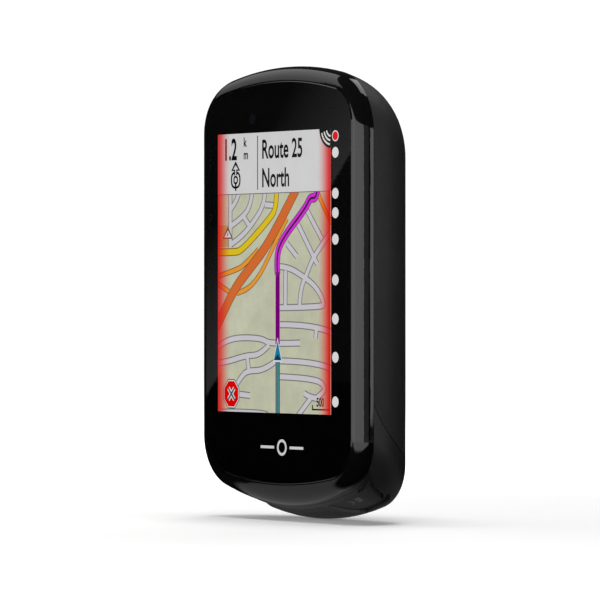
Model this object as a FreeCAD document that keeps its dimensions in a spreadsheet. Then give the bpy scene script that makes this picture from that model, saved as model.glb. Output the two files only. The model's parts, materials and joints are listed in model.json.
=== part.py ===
"""Handlebar cycling computer with a touch screen, as a parametric FreeCAD document.

Frame: X to the right as the rider sees it, Z towards the top edge, Y away from the rider.
The origin is the middle of the end face of the quarter-turn mount on the back.
Depths are measured from the outer face of the cover glass and grow towards the back.
"""
import FreeCAD, Part
import Sketcher
import math
import os

V = FreeCAD.Vector

# ---------------------------------------------------------------- driving dimensions (mm)
SIZES = {
    "mount_depth": 19.6,          # cover glass face to the mount's end face
    "wall": 1.8,
    "seam": 3.1,                  # depth of the joint between bezel and housing
    "seam_gap": 0.1,
    "body_half_width": 25.0,
    "body_top": 41.15,
    "body_bottom": 39.1,          # at the seam; the chin bulges lower behind it
    "top_arc": 80.0,
    "bottom_arc": 55.0,
    "top_corner": 11.2,
    "bottom_corner": 9.5,
    "top_slope": 0.3,
    "chin_slope": 0.52,
    "roll_start": 5.0,            # depth where the sides start to roll in to the back
    "roll_depth": 10.5,
    "roll_width": 10.0,
    "roll_top": 8.0,
    "roll_bottom": 9.0,
    "glass_half_width": 22.7,
    "glass_top": 38.5,
    "glass_bottom": 35.2,
    "glass_top_arc": 82.0,
    "glass_bottom_arc": 95.0,
    "glass_top_corner": 6.6,
    "glass_bottom_corner": 8.0,
    "glass_thick": 1.1,
    "glass_gap": 0.08,
    "bond_thick": 0.2,
    "screen_half_width": 20.7,
    "screen_middle": 3.6,
    "screen_height": 53.4,
    "lcd_margin": 0.5,
    "lcd_thick": 1.4,
    "backlight_thick": 1.2,
    "chassis_depth": 4.2,
    "chassis_thick": 0.8,
    "pcb_depth": 6.4,
    "pcb_thick": 0.8,
    "pcb_half_width": 20.0,
    "pcb_top": 35.0,
    "pcb_bottom": 33.0,
    "battery_width": 34.0,
    "battery_length": 45.0,
    "battery_thick": 4.6,
    "battery_depth": 8.3,
    "battery_middle": 2.0,
    "post_across": 15.5,
    "post_upper": 29.5,
    "post_lower": 27.0,
    "post_radius": 2.2,
    "screw_radius": 0.8,
    "screw_head_radius": 1.6,
    "mount_radius": 11.6,
    "mount_seat_radius": 12.4,
    "mount_tab_radius": 15.3,
    "mount_tab_thick": 1.7,
    "mount_tab_width": 13.0,
    "mount_recess_radius": 7.0,
    "port_half_width": 5.6,
    "port_front": 5.7,
    "port_back": 11.1,
    "port_ceiling": 34.6,
    "cap_thick": 1.2,
    "cap_gap": 0.2,
    "key_gap": 0.3,
    "key_sink": 0.45,
    "screw_seat": 13.6,           # depth of the face that the case screws' heads bear on
    "key_across": 15.0,
    "key_depth": 8.0,
    "power_height": 4.0,
    "power_depth": 8.6,
    "power_length": 9.0,
    "power_width": 3.2,
    "power_proud": 0.5,
    "lanyard_radius": 1.1,
}

doc = FreeCAD.newDocument("cycling_computer")
sheet = doc.addObject("Spreadsheet::Sheet", "Sizes")
for row, (alias, number) in enumerate(SIZES.items(), start=1):
    sheet.set("A%d" % row, alias.replace("_", " "))
    sheet.set("B%d" % row, str(number))
    sheet.setAlias("B%d" % row, alias)
doc.recompute()


class Length:
    """A length with its spreadsheet formula and its present value."""

    def __init__(self, text, value):
        self.text = text
        self.value = value

    def __add__(self, other):
        other = length(other)
        return Length("(%s + %s)" % (self.text, other.text), self.value + other.value)

    def __sub__(self, other):
        other = length(other)
        return Length("(%s - %s)" % (self.text, other.text), self.value - other.value)

    def __mul__(self, factor):
        factor = length(factor)
        return Length("(%s * %s)" % (self.text, factor.text), self.value * factor.value)

    def __truediv__(self, divisor):
        return Length("(%s / %r)" % (self.text, divisor), self.value / divisor)

    def __neg__(self):
        return Length("(0 - %s)" % self.text, -self.value)

    __radd__ = __add__
    __rmul__ = __mul__

    def __rsub__(self, other):
        return length(other) - self


def length(value):
    """A number or a Length, as a Length."""
    if isinstance(value, Length):
        return value
    return Length("(%.6f)" % value, float(value))


def size(alias):
    return Length("Sizes.%s" % alias, float(sheet.get(alias)))


def depth(value):
    """The Y place of a depth behind the cover glass face."""
    return length(value) - size("mount_depth")


def bind(thing, prop, value):
    thing.setExpression(prop, length(value).text)


def place(thing, x, y, z):
    for prop, value in zip("xyz", (x, y, z)):
        bind(thing, "Placement.Base." + prop, value)


# ---------------------------------------------------------------- building blocks
def block(name, x, y, z):
    """A box between pairs of limits; y limits are depths."""
    box = doc.addObject("Part::Box", name)
    lows = [length(pair[0]) for pair in (x, y, z)]
    highs = [length(pair[1]) for pair in (x, y, z)]
    for prop, low, high in zip(("Length", "Width", "Height"), lows, highs):
        bind(box, prop, high - low)
    place(box, lows[0], depth(lows[1]), lows[2])
    return box


ALONG = {
    "x": FreeCAD.Rotation(V(0, 1, 0), 90),
    "y": FreeCAD.Rotation(V(1, 0, 0), -90),
    "z": FreeCAD.Rotation(),
}


def rod(name, axis, radius, start, end, x=0, y=0, z=0):
    """A cylinder along an axis from start to end; along y both are depths."""
    tube = doc.addObject("Part::Cylinder", name)
    tube.Placement = FreeCAD.Placement(V(0, 0, 0), ALONG[axis])
    bind(tube, "Radius", radius)
    bind(tube, "Height", length(end) - start)
    spot = {"x": x, "y": y, "z": z}
    spot[axis] = start
    place(tube, spot["x"], depth(spot["y"]), spot["z"])
    return tube


def join(name, pieces):
    fused = doc.addObject("Part::MultiFuse", name)
    fused.Shapes = pieces
    return fused


def cut(name, base, *tools):
    result = doc.addObject("Part::Cut", name)
    result.Base = base
    result.Tool = tools[0] if len(tools) == 1 else join(name + "_tools", list(tools))
    return result


def common(name, first, second):
    result = doc.addObject("Part::Common", name)
    result.Base = first
    result.Tool = second
    return result


def mirrored(name, source):
    """The same piece on the other side of the middle plane."""
    twin = doc.addObject("Part::Mirroring", name)
    twin.Source = source
    twin.Normal = (1, 0, 0)
    return twin


FACING = {
    "y": FreeCAD.Rotation(V(1, 0, 0), 90),
    "z": FreeCAD.Rotation(),
    "x": FreeCAD.Rotation(V(1, 1, 1), 120),
}


def polygon(name, facing, corners):
    """A closed sketch of straight edges through the corners, each bound to its place."""
    sketch = doc.addObject("Sketcher::SketchObject", name)
    sketch.Placement = FreeCAD.Placement(V(0, 0, 0), FACING[facing])
    spots = [(length(u), length(v)) for u, v in corners]
    count = len(spots)
    for index in range(count):
        first, second = spots[index], spots[(index + 1) % count]
        sketch.addGeometry(
            Part.LineSegment(
                V(first[0].value, first[1].value, 0), V(second[0].value, second[1].value, 0)
            ),
            False,
        )
    for index in range(count):
        sketch.addConstraint(Sketcher.Constraint("Coincident", index, 2, (index + 1) % count, 1))
    for index, spot in enumerate(spots):
        for kind, value in zip(("DistanceX", "DistanceY"), spot):
            number = sketch.addConstraint(
                Sketcher.Constraint(kind, -1, 1, index, 1, value.value)
            )
            bind(sketch, "Constraints[%d]" % number, value)
    return sketch


def outline(name, at_depth, half_width, top, bottom, top_arc, bottom_arc, top_corner, bottom_corner):
    """The computer's outline: straight sides, wide end arcs and tangent corner arcs."""
    sketch = doc.addObject("Sketcher::SketchObject", name)
    sketch.Placement = FreeCAD.Placement(V(0, 0, 0), FACING["y"])
    place(sketch, 0, depth(at_depth), 0)
    w, up, low = (length(v).value for v in (half_width, top, bottom))
    ra, rb, ca, cb = (length(v).value for v in (top_arc, bottom_arc, top_corner, bottom_corner))
    za = up - ra + math.sqrt((ra - ca) ** 2 - (w - ca) ** 2)
    zb = rb - low - math.sqrt((rb - cb) ** 2 - (w - cb) ** 2)
    turn_a = math.atan2(za - up + ra, w - ca)
    turn_b = math.atan2(rb - low - zb, w - cb)
    half, full = math.pi, 2 * math.pi

    def arc(x, z, radius, start, end):
        return Part.ArcOfCircle(Part.Circle(V(x, z, 0), V(0, 0, 1), radius), start, end)

    sketch.addGeometry(
        [
            Part.LineSegment(V(w, zb, 0), V(w, za, 0)),
            arc(w - ca, za, ca, 0, turn_a),
            arc(0, up - ra, ra, turn_a, half - turn_a),
            arc(ca - w, za, ca, half - turn_a, half),
            Part.LineSegment(V(-w, za, 0), V(-w, zb, 0)),
            arc(cb - w, zb, cb, half, half + turn_b),
            arc(0, rb - low, rb, half + turn_b, full - turn_b),
            arc(w - cb, zb, cb, full - turn_b, full),
        ],
        False,
    )
    rules = [Sketcher.Constraint("Tangent", i, 2, (i + 1) % 8, 1) for i in range(8)]
    rules += [Sketcher.Constraint("Vertical", 0), Sketcher.Constraint("Vertical", 4)]
    rules += [Sketcher.Constraint("PointOnObject", 2, 3, -2)]
    rules += [Sketcher.Constraint("PointOnObject", 6, 3, -2)]
    rules += [Sketcher.Constraint("Equal", 1, 3), Sketcher.Constraint("Equal", 7, 5)]
    sketch.addConstraint(rules)
    driven = [
        (Sketcher.Constraint("Radius", 2, ra), top_arc),
        (Sketcher.Constraint("Radius", 6, rb), bottom_arc),
        (Sketcher.Constraint("Radius", 1, ca), top_corner),
        (Sketcher.Constraint("Radius", 7, cb), bottom_corner),
        (Sketcher.Constraint("DistanceX", -1, 1, 0, 1, w), half_width),
        (Sketcher.Constraint("DistanceX", 4, 1, -1, 1, w), half_width),
        (Sketcher.Constraint("DistanceY", 2, 3, -1, 1, ra - up), length(top_arc) - top),
        (Sketcher.Constraint("DistanceY", -1, 1, 6, 3, rb - low), length(bottom_arc) - bottom),
    ]
    for rule, value in driven:
        bind(sketch, "Constraints[%d]" % sketch.addConstraint(rule), value)
    return sketch


def loft(name, sections):
    solid = doc.addObject("Part::Loft", name)
    solid.Sections = sections
    solid.Solid = True
    solid.Ruled = False
    return solid


def pull(name, sketch, along, thickness):
    """A sketch extruded along a direction."""
    solid = doc.addObject("Part::Extrusion", name)
    solid.Base = sketch
    solid.DirMode = "Custom"
    solid.Dir = along
    solid.Solid = True
    bind(solid, "LengthFwd", thickness)
    return solid


def plan_prism(name, corners):
    """A prism along Z through the chin; the corners are (x, depth)."""
    low, high = -46.0, -31.0
    sketch = polygon(name + "_plan", "z", [(x, depth(y)) for x, y in corners])
    bind(sketch, "Placement.Base.z", low)
    return pull(name, sketch, V(0, 0, 1), high - low)


def rounded_plate(name, x, y, z, radius):
    """A body: a rounded rectangle in the screen's plane, padded through its depth."""
    body = doc.addObject("PartDesign::Body", name)
    plane = [f for f in body.Origin.OriginFeatures if f.Role == "XZ_Plane"][0]
    sketch = body.newObject("Sketcher::SketchObject", name + "_sketch")
    sketch.AttachmentSupport = [(plane, "")]
    sketch.MapMode = "FlatFace"
    left, right = (length(v) for v in x)
    low, high = (length(v) for v in z)
    spots = [(left, low), (right, low), (right, high), (left, high)]
    for index in range(4):
        first, second = spots[index], spots[(index + 1) % 4]
        sketch.addGeometry(
            Part.LineSegment(
                V(first[0].value, first[1].value, 0), V(second[0].value, second[1].value, 0)
            ),
            False,
        )
    for index in range(4):
        sketch.addConstraint(Sketcher.Constraint("Coincident", index, 2, (index + 1) % 4, 1))
    for index, spot in enumerate(spots):
        for kind, value in zip(("DistanceX", "DistanceY"), spot):
            number = sketch.addConstraint(Sketcher.Constraint(kind, -1, 1, index, 1, value.value))
            bind(sketch, "Constraints[%d]" % number, value)
    pad = body.newObject("PartDesign::Pad", name + "_pad")
    pad.Profile = sketch
    pad.Reversed = True
    bind(pad, "Length", length(y[1]) - y[0])
    doc.recompute()
    edges = [
        "Edge%d" % (number + 1)
        for number, edge in enumerate(pad.Shape.Edges)
        if edge.BoundBox.YLength > edge.BoundBox.XLength + edge.BoundBox.ZLength
    ]
    rounding = body.newObject("PartDesign::Fillet", name + "_corners")
    rounding.Base = (pad, edges)
    rounding.Radius = radius
    body.Tip = rounding
    place(body, 0, depth(y[0]), 0)
    return body


# ---------------------------------------------------------------- housing forms
ROLL_STEPS = (0, 15, 30, 45, 60, 75, 90)


def housing_section(name, at_depth, inset, turn):
    """The housing's outline at one depth, set in from the outer skin."""
    share = 1 - math.cos(math.radians(turn))
    behind = at_depth - size("seam")
    side = size("body_half_width") - inset - (size("roll_width") - inset) * share
    top = size("body_top") - inset - size("top_slope") * behind
    top = top - (size("roll_top") - inset) * share
    bottom = size("body_bottom") - inset + size("chin_slope") * behind
    bottom = bottom - (size("roll_bottom") - inset) * share
    corner_loss = inset + (3.6 - inset * 0.4) * share
    return outline(
        name, at_depth, side, top, bottom,
        size("top_arc") - inset, size("bottom_arc") - inset,
        size("top_corner") - corner_loss, size("bottom_corner") - corner_loss,
    )


def housing_form(name, inset, front):
    """The housing's rounded form, set in by a wall and starting at a depth."""
    inset, front = length(inset), length(front)
    sections = [housing_section(name + "_front", front, inset, 0)]
    for turn in ROLL_STEPS:
        reach = (size("roll_depth") - inset) * math.sin(math.radians(turn))
        at_depth = size("roll_start") + reach
        sections.append(housing_section("%s_%02d" % (name, turn), at_depth, inset, turn))
    return loft(name, sections)


def glass_outline(name, at_depth, inset):
    inset = length(inset)
    return outline(
        name, at_depth,
        size("glass_half_width") - inset, size("glass_top") - inset, size("glass_bottom") - inset,
        size("glass_top_arc") - inset, size("glass_bottom_arc") - inset,
        size("glass_top_corner") - inset, size("glass_bottom_corner") - inset,
    )


def glass_plate(name, inset, start, end):
    return pull(name, glass_outline(name + "_outline", start, inset), V(0, 1, 0), length(end) - start)


skin_start = size("seam") + size("seam_gap")
outer_form = housing_form("outer_form", 0, skin_start)
cavity_form = housing_form("cavity_form", size("wall"), size("seam") - 0.8)
chassis_form = housing_form("chassis_form", size("wall") - 0.15, size("seam") - 0.8)
land_form = housing_form("land_form", 0.5, size("seam") - 0.8)
key_skin = housing_form("key_skin", size("key_sink"), size("seam") - 0.8)
flange_skin = housing_form("flange_skin", size("wall") + 0.15, size("seam") - 0.8)
flange_floor = housing_form("flange_floor", size("wall") + 0.9, size("seam") - 0.8)
cap_floor = housing_form("cap_floor", size("cap_thick"), size("seam") - 0.8)
cap_seat = housing_form("cap_seat", size("cap_thick") + 0.15, size("seam") - 0.8)


def split_block(name, shift):
    """Everything in front of and below the curved seam between mid frame and rear cover."""
    at = sheet.get("mount_depth")
    curve = [(2.0, -16.4), (4.1, -22.0), (7.4, -26.3), (10.6, -28.9), (13.0, -31.0), (13.9, -34.5)]
    points = [V(-40, y - at, z) for y, z in curve]
    seam = Part.BSplineCurve()
    seam.interpolate(points)
    low = [V(-40, 13.9 - at, -34.5), V(-40, 13.9 - at, -50), V(-40, 2.0 - at, -50), points[0]]
    edges = [seam.toShape()] + [Part.makeLine(a, b) for a, b in zip(low, low[1:])]
    piece = doc.addObject("Part::Feature", name)
    piece.Shape = Part.Face(Part.Wire(edges)).extrude(V(80, 0, 0))
    piece.Placement = FreeCAD.Placement(V(0, shift, shift), FreeCAD.Rotation())
    return piece


# ---------------------------------------------------------------- screen stack
def screen_limits(margin):
    half = size("screen_height") / 2 + margin
    across = size("screen_half_width") + margin
    return (-across, across), (size("screen_middle") - half, size("screen_middle") + half)


bond_end = size("glass_thick") + size("bond_thick")


def cover_glass():
    plate = glass_plate("cover_glass_plate", 0, 0, size("glass_thick"))
    doc.recompute()
    rounded = doc.addObject("Part::Chamfer", "cover_glass")
    rounded.Base = plate
    front = plate.Shape.BoundBox.YMin
    rounded.Edges = [
        (number + 1, 0.25, 0.25)
        for number, edge in enumerate(plate.Shape.Edges)
        if edge.BoundBox.YMax < front + 0.01
    ]
    return rounded


def bonding_frame():
    """The black adhesive frame that holds the glass and masks the screen's border."""
    plate = glass_plate("bonding_plate", 0.25, size("glass_thick"), bond_end)
    across, up = screen_limits(0)
    window = block("bonding_window", across, (0, 3), up)
    return cut("bonding_frame", plate, window)


def lcd_panel():
    across, up = screen_limits(size("lcd_margin"))
    return rounded_plate("lcd_panel", across, (bond_end, bond_end + size("lcd_thick")), up, 0.6)


def backlight_unit():
    across, up = screen_limits(size("lcd_margin"))
    start = bond_end + size("lcd_thick")
    return rounded_plate(
        "backlight_unit", across, (start, start + size("backlight_thick")), up, 0.6
    )


flex_level = size("screen_middle") - size("screen_height") / 2 - 1.6


def lcd_flex():
    """The screen's ribbon: down from the panel, back through the chassis, onto the board."""
    start = bond_end + 0.5
    down = block("flex_down", (-7, 7), (start, start + 0.15), (flex_level, flex_level + 1.1))
    back = block("flex_back", (-7, 7), (start, size("pcb_depth") - 1), (flex_level, flex_level + 0.15))
    return join("lcd_flex", [down, back])


def lcd_connector():
    return block(
        "lcd_connector", (-7.5, 7.5), (size("pcb_depth") - 1, size("pcb_depth")),
        (flex_level - 1.2, flex_level + 1.2),
    )


def light_sensor():
    return rounded_plate("light_sensor", (-10.2, -8.2), (bond_end, bond_end + 0.8), (31.3, 32.5), 0.2)


# ---------------------------------------------------------------- bezel and housing
def seal_ring(name, gap):
    """The square rubber ring in the joint between bezel and housing."""
    outer = housing_section(name + "_outer", size("seam") - 0.5 - gap, 0.7 - length(gap), 0)
    inner = housing_section(name + "_inner", size("seam") - 0.5 - gap, 1.4 + length(gap), 0)
    tall = length(1.0) + 2 * length(gap)
    return cut(
        name, pull(name + "_full", outer, V(0, 1, 0), tall), pull(name + "_void", inner, V(0, 1, 0), tall)
    )


def bezel_form():
    """The bezel's crowned ring: it rolls from the seam round to the edge of the glass."""
    sections = []
    for turn in (0, 18, 36, 54, 72, 90):
        share = 1 - math.cos(math.radians(turn))
        at_depth = size("seam") - (size("seam") - 0.1) * math.sin(math.radians(turn))

        def between(body_size, glass_size):
            edge = size(glass_size) + size("glass_gap")
            return size(body_size) - (size(body_size) - edge) * share

        sections.append(
            outline(
                "bezel_%02d" % turn, at_depth,
                between("body_half_width", "glass_half_width"),
                between("body_top", "glass_top"), between("body_bottom", "glass_bottom"),
                between("top_arc", "glass_top_arc"), between("bottom_arc", "glass_bottom_arc"),
                between("top_corner", "glass_top_corner"),
                between("bottom_corner", "glass_bottom_corner"),
            )
        )
    return loft("bezel_form", sections)


def front_bezel():
    pocket = glass_plate("glass_pocket", -size("glass_gap"), -1, bond_end)
    across, up = screen_limits(0.9)
    opening = block("bezel_opening", across, (0, 5), (up[0], up[1] + 1.6))
    hollow = pull(
        "bezel_hollow", housing_section("bezel_hollow_line", size("seam") - 0.7, size("wall"), 0),
        V(0, 1, 0), 2,
    )
    flex_gap = block("bezel_flex_gap", (-8, 8), (bond_end, 5), (flex_level - 0.5, 0))
    return cut(
        "front_bezel", bezel_form(), pocket, opening, hollow, flex_gap, seal_ring("bezel_groove", 0.02)
    )


def posts(name, radius, start, end):
    spots = [(side, level) for side in (-1, 1) for level in ("post_upper", "post_lower")]
    rods = []
    for number, (side, level) in enumerate(spots):
        z = size(level) if level == "post_upper" else -size(level)
        rods.append(
            rod("%s_%d" % (name, number), "y", radius, start, end, x=size("post_across") * side, z=z)
        )
    return rods


def key_corners(grow):
    """The start/stop key's plan, grown all round; it narrows beside the port cap."""
    return [
        (9.5 - 1.1 * grow, 4.5 - grow), (21.9 + 1.1 * grow, 4.5 - grow),
        (20.3 + 1.3 * grow, 8.4 + 0.4 * grow), (19.4 + 0.6 * grow, 9.2 + grow),
        (12.9 - 0.9 * grow, 9.2 + grow),
    ]


def cap_corners(grow, ahead=0):
    """The port cap's plan: wide at the back, narrowing in front beside the keys."""
    right = [
        (8.1 + 0.4 * grow, 4.9 - grow - ahead), (11.9 + grow, 9.8 - 2.5 * ahead),
        (11.9 + grow, 11.7 + grow),
    ]
    return right + [(-x, y) for x, y in reversed(right)]


def key_openings():
    land = [(20.2, 3.2), (23.5, 3.2), (21.3, 9.6), (20.0, 10.6), (13.4, 10.6), (13.4, 8.8)]
    rim = cut("land_rim", plan_prism("land_plan", land), land_form)
    hole = plan_prism("key_hole", key_corners(size("key_gap").value))
    tools = [rim, hole]
    return tools + [mirrored("rim_left", rim), mirrored("hole_left", hole)]


ANCHOR = ((-2.4, 2.4), (11.1, 12.1), (-38.8, -35.4))


def cap_recess():
    return cut("cap_recess", plan_prism("cap_plan", cap_corners(size("cap_gap").value, 0.28)), cap_seat)


def mid_frame():
    """Smooth lower shell with the chassis plate, the port well and the screw posts."""
    shell = cut("lower_shell", common("lower_form", outer_form, split_block("split", 0)), cavity_form)
    plate_box = block(
        "chassis_box", (-30, 30),
        (size("chassis_depth"), size("chassis_depth") + size("chassis_thick")), (-32.8, 45),
    )
    plate = common("chassis_plate", chassis_form, plate_box)
    well = common(
        "well_body", block("well_box", (-7.3, 7.3), (4.4, 12.4), (-45, -33.3)), outer_form
    )
    start = size("chassis_depth") + 0.1
    pillars = [
        common("clear_" + post.Name, post, flange_skin)
        for post in posts("pillar", size("post_radius"), start, 12.4)
    ]
    solid = join("mid_frame_solid", [shell, plate, well] + pillars)
    port = size("port_half_width")
    well_hole = block(
        "well_hole", (-port, port), (size("port_front"), size("port_back")),
        (-50, -size("port_ceiling")),
    )
    plug_slot = block("plug_slot", (-3.9, 3.9), (7.1, 10.0), (-38, -30))
    flex_slot = block("flex_slot", (-8, 8), (4, 5.5), (flex_level - 1, flex_level + 1.2))
    bores = posts("pillar_bore", size("screw_radius") + 0.05, 6, 14)
    anchor_slot = block("anchor_slot", *ANCHOR)
    tools = [cap_recess(), well_hole, plug_slot, flex_slot, anchor_slot]
    tools += [seal_ring("frame_groove", 0.02), block("lanyard_room", *LANYARD_BAR)]
    return cut("mid_frame", solid, *(tools + bores + key_openings()))


LANYARD_BAR = ((-6.4, 6.4), (12.6, 16), (-45, -32.4))


def lanyard_notches():
    """Two notches in the rear lower edge that leave a drilled bar for a lanyard."""
    notches = [
        block("lanyard_notch_%d" % n, x, (13.0, 20), (-45, -33.6))
        for n, x in enumerate([(2.2, 5.4), (-5.4, -2.2)])
    ]
    return notches + [rod("lanyard_bore", "x", size("lanyard_radius"), -6, 6, y=14.2, z=-36.4)]


PINS = (-9, 9)
VENT = {"x": -9, "z": -24.5}


def rear_cover():
    """Textured back shell with the mount's seat, screw bosses, vent and lanyard bar."""
    shell = cut("rear_shell", outer_form, cavity_form)
    inner_back = size("roll_start") + size("roll_depth") - size("wall")
    bosses = posts("boss", size("post_radius") + 0.6, 12.5, inner_back + 0.5)
    bar_fill = common(
        "lanyard_fill", block("lanyard_box", *LANYARD_BAR), outer_form
    )
    seat = size("roll_start") + size("roll_depth") - 0.8
    solid = join("rear_solid", [shell, bar_fill] + bosses)
    tools = [cut("split_round_bar", split_block("split_gap", 0.1), block("bar_kept", *LANYARD_BAR))]
    tools += posts("head_bore", size("screw_head_radius") + 0.2, size("screw_seat"), 20)
    tools += posts("shank_bore", size("screw_radius") + 0.15, 10, 20)
    tools += [rod("mount_seat", "y", size("mount_seat_radius") + 0.05, seat, 20)]
    tools += [rod("pin_hole_%d" % n, "y", 1.25, 10, 20, x=x) for n, x in enumerate(PINS)]
    tools += [rod("vent_hole", "y", 0.5, 10, 20, **VENT)]
    tools += [rounded_slot("power_hole", 0.25, -30, -20), rounded_slot("power_seat", 1.5, -22.7, -15)]
    tools += [chassis_form_band(), seal_ring("rear_groove", 0.02)] + lanyard_notches()
    return cut("rear_cover", solid, *tools)


def chassis_form_band():
    """Room in the rear cover's wall for the edge of the chassis plate."""
    band = block(
        "band_box", (-30, 30),
        (size("chassis_depth") - 0.05, size("chassis_depth") + size("chassis_thick") + 0.05),
        (-34, 45),
    )
    return common("chassis_band", chassis_form, band)


# ---------------------------------------------------------------- buttons
def rounded_slot(name, grow, start, end):
    """A slot-shaped prism along X at the power button, grown all round."""
    radius = size("power_width") / 2 + grow
    reach = (size("power_length") - size("power_width")) / 2
    level = size("power_height")
    at = size("power_depth")
    ends = [
        rod(name + "_end_%d" % n, "x", radius, start, end, y=at, z=level + reach * side)
        for n, side in enumerate((-1, 1))
    ]
    middle = block(name + "_middle", (start, end), (at - radius, at + radius), (level - reach, level + reach))
    return join(name, ends + [middle])


def power_face():
    """The X place of the housing's skin at the power button."""
    turn = math.asin(
        (size("power_depth") - size("roll_start")).value / size("roll_depth").value
    )
    return size("body_half_width") - size("roll_width") * (1 - math.cos(turn))


def power_button():
    face = -power_face()
    cap = rounded_slot("power_cap", 0, face - size("power_proud"), -22.4)
    flange = rounded_slot("power_flange", 0.6, -22.4, -21.9)
    stem = rod("power_stem", "x", 0.8, -21.95, -20.9, y=size("power_depth"), z=size("power_height"))
    return join("power_button", [cap, flange, stem])


def power_seal():
    ring = rounded_slot("power_seal_full", 1.45, -22.65, -22.1)
    return cut("power_seal", ring, rounded_slot("power_seal_void", 0.95, -23, -20))


def power_switch():
    y = size("power_depth")
    z = size("power_height")
    body = block("power_switch_body", (-20.3, -17.6), (7.2, 10.0), (z - 2.2, z + 2.2))
    bore = rod("power_switch_bore", "x", 0.95, -20.5, -19.0, y=y, z=z)
    return cut("power_switch", body, bore)


def power_plunger():
    y = size("power_depth")
    return rod("power_plunger", "x", 0.65, -20.9, -19.6, y=y, z=size("power_height"))


def start_stop_button():
    """The right key: a sunk face, a raised end at the corner, a flange and a stem."""
    plan = plan_prism("key_plan", key_corners(0))
    flange_plan = plan_prism("flange_plan", key_corners(0.6))
    below = block("face_reach", (0, 30), (0, 20), (-60, -32.2))
    band = common("key_band_low", cut("key_band", key_skin, flange_floor), below)
    face = common("key_face", band, plan)
    reach = block("flange_reach", (0, 30), (0, 20), (-60, -34.3))
    flange_band = common("flange_low", cut("flange_band", flange_skin, flange_floor), reach)
    flange = common("key_flange", flange_band, flange_plan)
    crest_plan = [(19.6, 4.5), (21.9, 4.5), (20.3, 8.4), (18.3, 8.4)]
    crest_band = cut("crest_band", outer_form, flange_skin)
    crest = common("key_crest", crest_band, plan_prism("crest_plan", crest_plan))
    stem = rod("key_stem", "z", 0.8, -37.6, -35.0, x=size("key_across"), y=size("key_depth"))
    return join("start_stop_button", [face, flange, crest, stem])


def start_stop_seal():
    """A flat rubber frame on the inner wall round the key's flange."""
    ring_plan = cut(
        "key_seal_plan", plan_prism("key_seal_outer", key_corners(1.6)),
        plan_prism("key_seal_inner", key_corners(1.0)),
    )
    band = cut("key_seal_band", cavity_form, housing_form("seal_floor", 2.3, 2.3))
    clear = block("key_seal_clear", (7.35, 30), (4.0, 20), (-60, -33.4))
    return common("start_stop_seal", common("key_seal_ring", band, ring_plan), clear)


def start_stop_switch():
    across = size("key_across")
    body = block("key_switch_body", (across - 2, across + 2), (7.2, 8.9), (-34.2, -31.2))
    bore = rod("key_switch_bore", "z", 0.95, -35, -33, x=across, y=size("key_depth"))
    return cut("start_stop_switch", body, bore)


def start_stop_plunger():
    return rod("start_stop_plunger", "z", 0.65, -35.0, -33.6, x=size("key_across"), y=size("key_depth"))


# ---------------------------------------------------------------- port cap
def weather_cap():
    """Rubber port cap: a curved face flush with the chin and a low lip inside the well."""
    face = common("cap_face", cut("cap_band", outer_form, cap_floor), plan_prism("cap_outline", cap_corners(0)))
    lip_box = block("cap_lip_box", (-5.2, 5.2), (6.1, 10.7), (-40.6, -38.8))
    lip_void = block("cap_lip_void", (-4.4, 4.4), (6.9, 9.9), (-39.4, -38))
    lip = cut("cap_lip", lip_box, lip_void)
    return join("weather_cap", [face, common("cap_lip_trim", lip, key_skin)])


def cap_anchor():
    """The stud end of the cap's strap, held behind the port well."""
    return block("cap_anchor", *ANCHOR)


# ---------------------------------------------------------------- electronics
BOARD_SPOTS = [(-18.2, -20.5), (18.2, -20.5), (0, 24.8)]


def main_board():
    half = size("pcb_half_width")
    plate = rounded_plate(
        "board_plate", (-half, half),
        (size("pcb_depth"), size("pcb_depth") + size("pcb_thick")),
        (-size("pcb_bottom"), size("pcb_top")), 5.5,
    )
    return cut("main_board", plate, *posts("board_hole", size("post_radius") + 0.3, 5, 9))


board_back = size("pcb_depth") + size("pcb_thick")


def on_board(name, x, z, tall):
    return rounded_plate(name, x, (board_back, board_back + tall), z, 0.2)


def shield_can(name, x, z):
    shell = block(name + "_shell", x, (board_back, board_back + 0.95), z)
    void = block(
        name + "_void", (x[0] + 0.15, x[1] - 0.15), (board_back - 1, board_back + 0.8),
        (z[0] + 0.15, z[1] - 0.15),
    )
    return cut(name, shell, void)


def gps_antenna():
    tile = on_board("gps_tile", (-6, 6), (26.0, 34.4), 3.0)
    feed = rod("gps_feed", "y", 0.5, board_back + 2.9, board_back + 3.3, x=1.5, z=31.5)
    return join("gps_antenna", [tile, feed])


def buzzer():
    can = rod("buzzer_can", "y", 4.2, board_back, board_back + 2.8, x=8.6, z=-26.2)
    hole = rod("buzzer_hole", "y", 1.0, board_back + 2.2, board_back + 4, x=8.6, z=-26.2)
    return cut("buzzer", can, hole)


def usb_receptacle():
    shell = block("usb_shell", (-3.75, 3.75), (board_back, board_back + 2.6), (-34.5, -29.5))
    void = block("usb_void", (-3.45, 3.45), (board_back + 0.3, board_back + 2.3), (-36, -30))
    tongue = block("usb_tongue", (-2.0, 2.0), (board_back + 0.9, board_back + 1.5), (-34.0, -29.8))
    return join("usb_receptacle", [cut("usb_hollow", shell, void), tongue])


def battery():
    half = size("battery_width") / 2
    middle = size("battery_middle")
    reach = size("battery_length") / 2
    start = size("battery_depth")
    return rounded_plate(
        "battery", (-half, half), (start, start + size("battery_thick")),
        (middle - reach, middle + reach), 1.8,
    )


def battery_pad():
    start = size("battery_depth") + size("battery_thick")
    end = size("roll_start") + size("roll_depth") - size("wall")
    return rounded_plate("battery_pad", (-13, 13), (start, end), (-12, 14), 1.0)


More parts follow.
